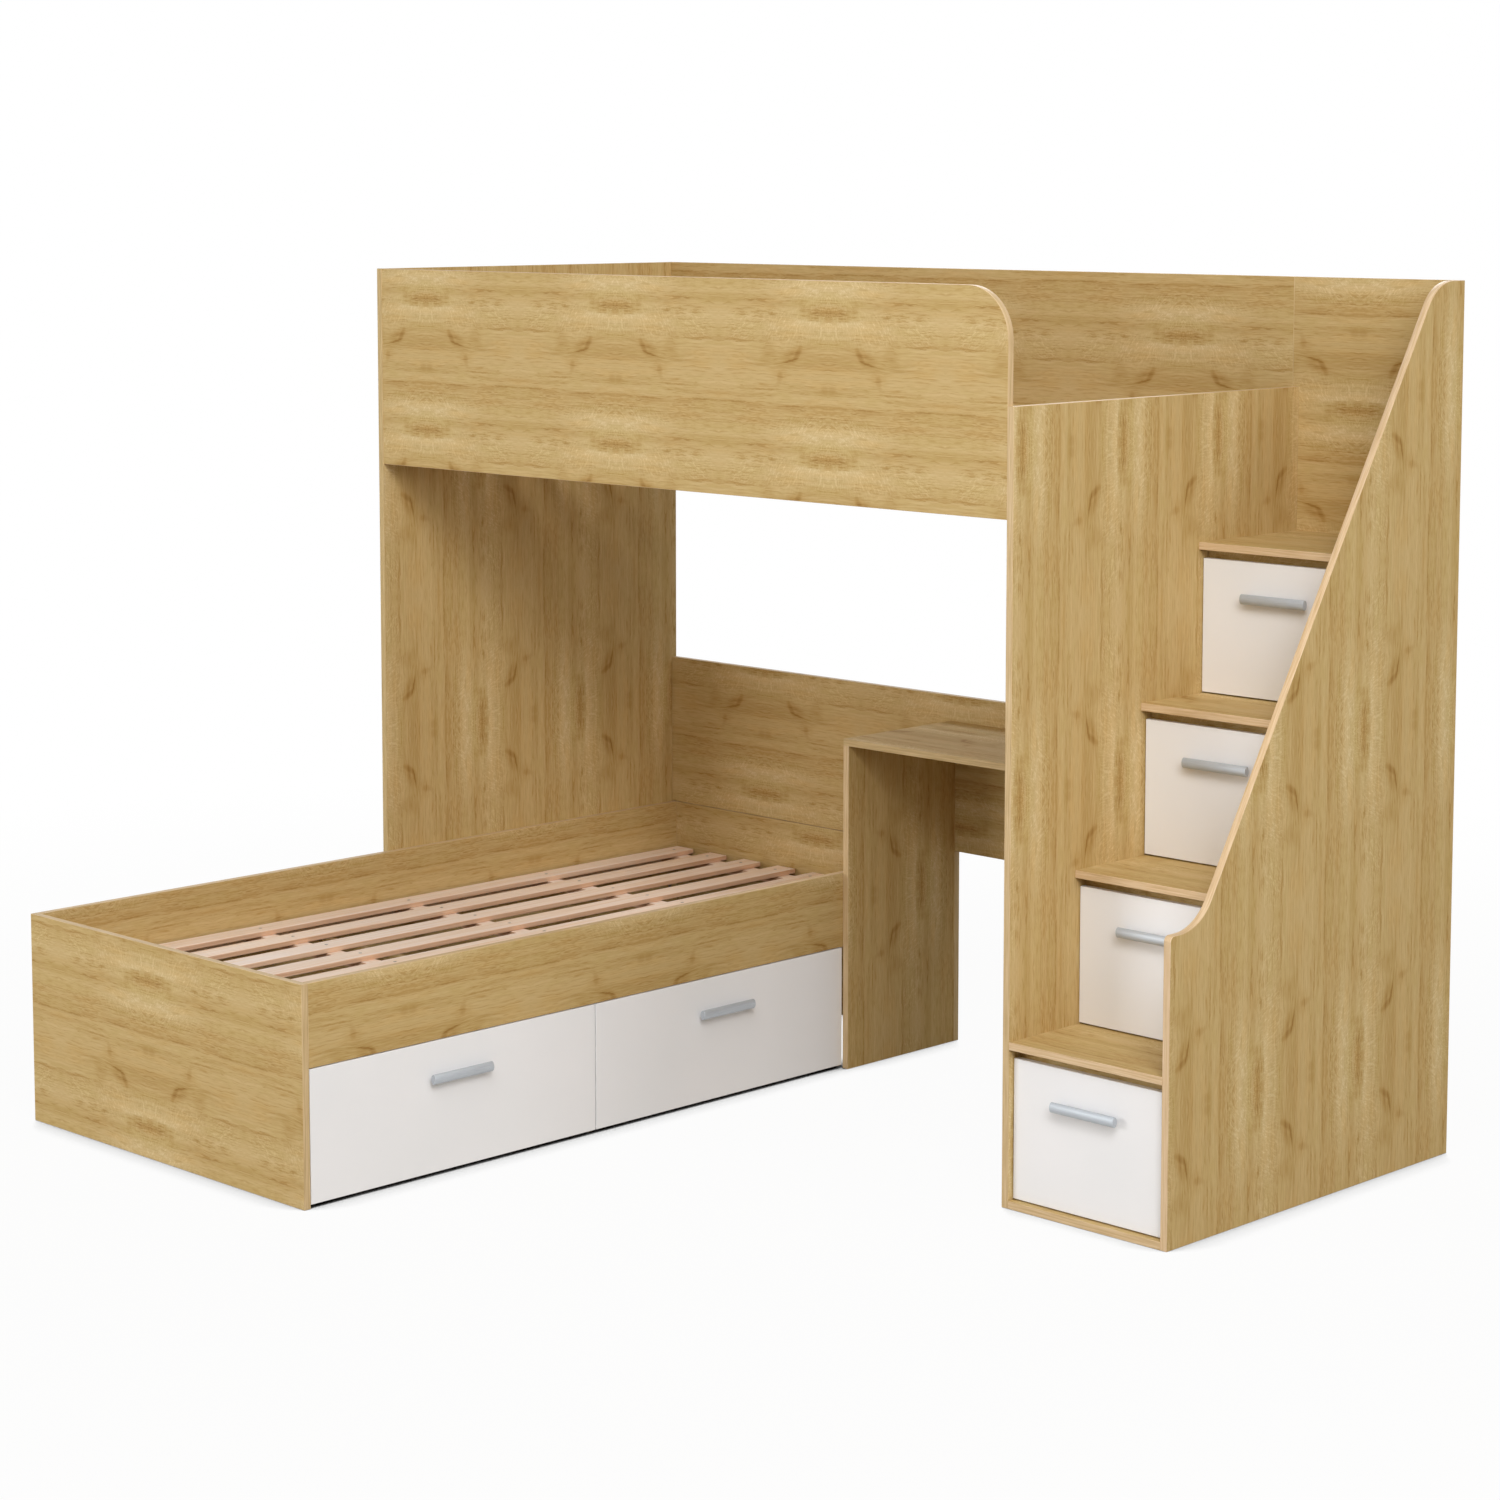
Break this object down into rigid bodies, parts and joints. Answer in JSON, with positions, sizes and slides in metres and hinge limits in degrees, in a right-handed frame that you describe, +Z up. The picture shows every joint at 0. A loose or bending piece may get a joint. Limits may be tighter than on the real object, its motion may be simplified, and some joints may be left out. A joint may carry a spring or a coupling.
{
  "type": "bunk bed with storage stairs",
  "caption": "High bunk over a desk and a crosswise low bed, with a drawer staircase at one end and drawers under the low bed.",
  "frame": {"origin": "on the floor, under the middle of the whole bed's bounding box", "axes": "+X right along the high bunk towards the staircase, as seen from the front; +Y towards the back panels; +Z up"},
  "size_m": [2.327, 1.932, 1.819],
  "materials": {
    "oak_board": "oak decor melamine, matt with fine pores",
    "bare_pine": "planed softwood",
    "white_board": "white melamine, satin",
    "white_fibreboard": "white-faced thin fibreboard",
    "satin_aluminium": "satin anodised",
    "runner_steel": "zinc-plated sheet",
    "cam_zinc": "zinc die-casting"
  },
  "bodies": {
    "root": {"left_side_panel": "oak_board", "upper_guard_panel": "oak_board", "upper_back_panel": "oak_board", "middle_back_panel": "oak_board", "stair_inner_panel": "oak_board", "stair_outer_panel": "oak_board", "stair_back_panel": "oak_board", "stair_bottom_panel": "oak_board", "stair_tread_1": "oak_board", "stair_tread_2": "oak_board", "stair_tread_3": "oak_board", "stair_tread_4": "oak_board", "desk_top": "oak_board", "desk_side_panel": "oak_board", "lower_foot_panel": "oak_board", "lower_head_panel": "oak_board", "lower_left_panel": "oak_board", "lower_right_rail": "oak_board", "drawer_bay_divider": "oak_board", "drawer_bay_end": "oak_board", "lower_slats": "bare_pine", "lower_battens": "bare_pine", "lower_cleats": "bare_pine", "upper_slats": "bare_pine", "upper_battens": "bare_pine", "upper_cleats": "bare_pine", "stair_drawer_rails": "runner_steel", "lower_drawer_rails": "runner_steel", "slat_screws": "cam_zinc", "cam_fittings": "cam_zinc"},
    "stair_drawer_1": {"stair_drawer_1_front": "white_board", "stair_drawer_1_box": "white_board", "stair_drawer_1_bottom": "white_fibreboard", "stair_drawer_1_handle": "satin_aluminium", "stair_drawer_1_runners": "runner_steel"},
    "stair_drawer_2": {"stair_drawer_2_front": "white_board", "stair_drawer_2_box": "white_board", "stair_drawer_2_bottom": "white_fibreboard", "stair_drawer_2_handle": "satin_aluminium", "stair_drawer_2_runners": "runner_steel"},
    "stair_drawer_3": {"stair_drawer_3_front": "white_board", "stair_drawer_3_box": "white_board", "stair_drawer_3_bottom": "white_fibreboard", "stair_drawer_3_handle": "satin_aluminium", "stair_drawer_3_runners": "runner_steel"},
    "stair_drawer_4": {"stair_drawer_4_front": "white_board", "stair_drawer_4_box": "white_board", "stair_drawer_4_bottom": "white_fibreboard", "stair_drawer_4_handle": "satin_aluminium", "stair_drawer_4_runners": "runner_steel"},
    "lower_drawer_foot": {"lower_drawer_foot_front": "white_board", "lower_drawer_foot_box": "white_board", "lower_drawer_foot_bottom": "white_fibreboard", "lower_drawer_foot_handle": "satin_aluminium", "lower_drawer_foot_runners": "runner_steel"},
    "lower_drawer_head": {"lower_drawer_head_front": "white_board", "lower_drawer_head_box": "white_board", "lower_drawer_head_bottom": "white_fibreboard", "lower_drawer_head_handle": "satin_aluminium", "lower_drawer_head_runners": "runner_steel"}
  },
  "joints": [
    {"name": "stair_drawer_1_slide", "type": "slide", "parent": "root", "child": "stair_drawer_1", "axis": [0, -1, 0], "range_m": [0, 0.375]},
    {"name": "stair_drawer_2_slide", "type": "slide", "parent": "root", "child": "stair_drawer_2", "axis": [0, -1, 0], "range_m": [0, 0.375]},
    {"name": "stair_drawer_3_slide", "type": "slide", "parent": "root", "child": "stair_drawer_3", "axis": [0, -1, 0], "range_m": [0, 0.335]},
    {"name": "stair_drawer_4_slide", "type": "slide", "parent": "root", "child": "stair_drawer_4", "axis": [0, -1, 0], "range_m": [0, 0.225]},
    {"name": "lower_drawer_foot_slide", "type": "slide", "parent": "root", "child": "lower_drawer_foot", "axis": [1, 0, 0], "range_m": [0, 0.375]},
    {"name": "lower_drawer_head_slide", "type": "slide", "parent": "root", "child": "lower_drawer_head", "axis": [1, 0, 0], "range_m": [0, 0.375]}
  ]
}
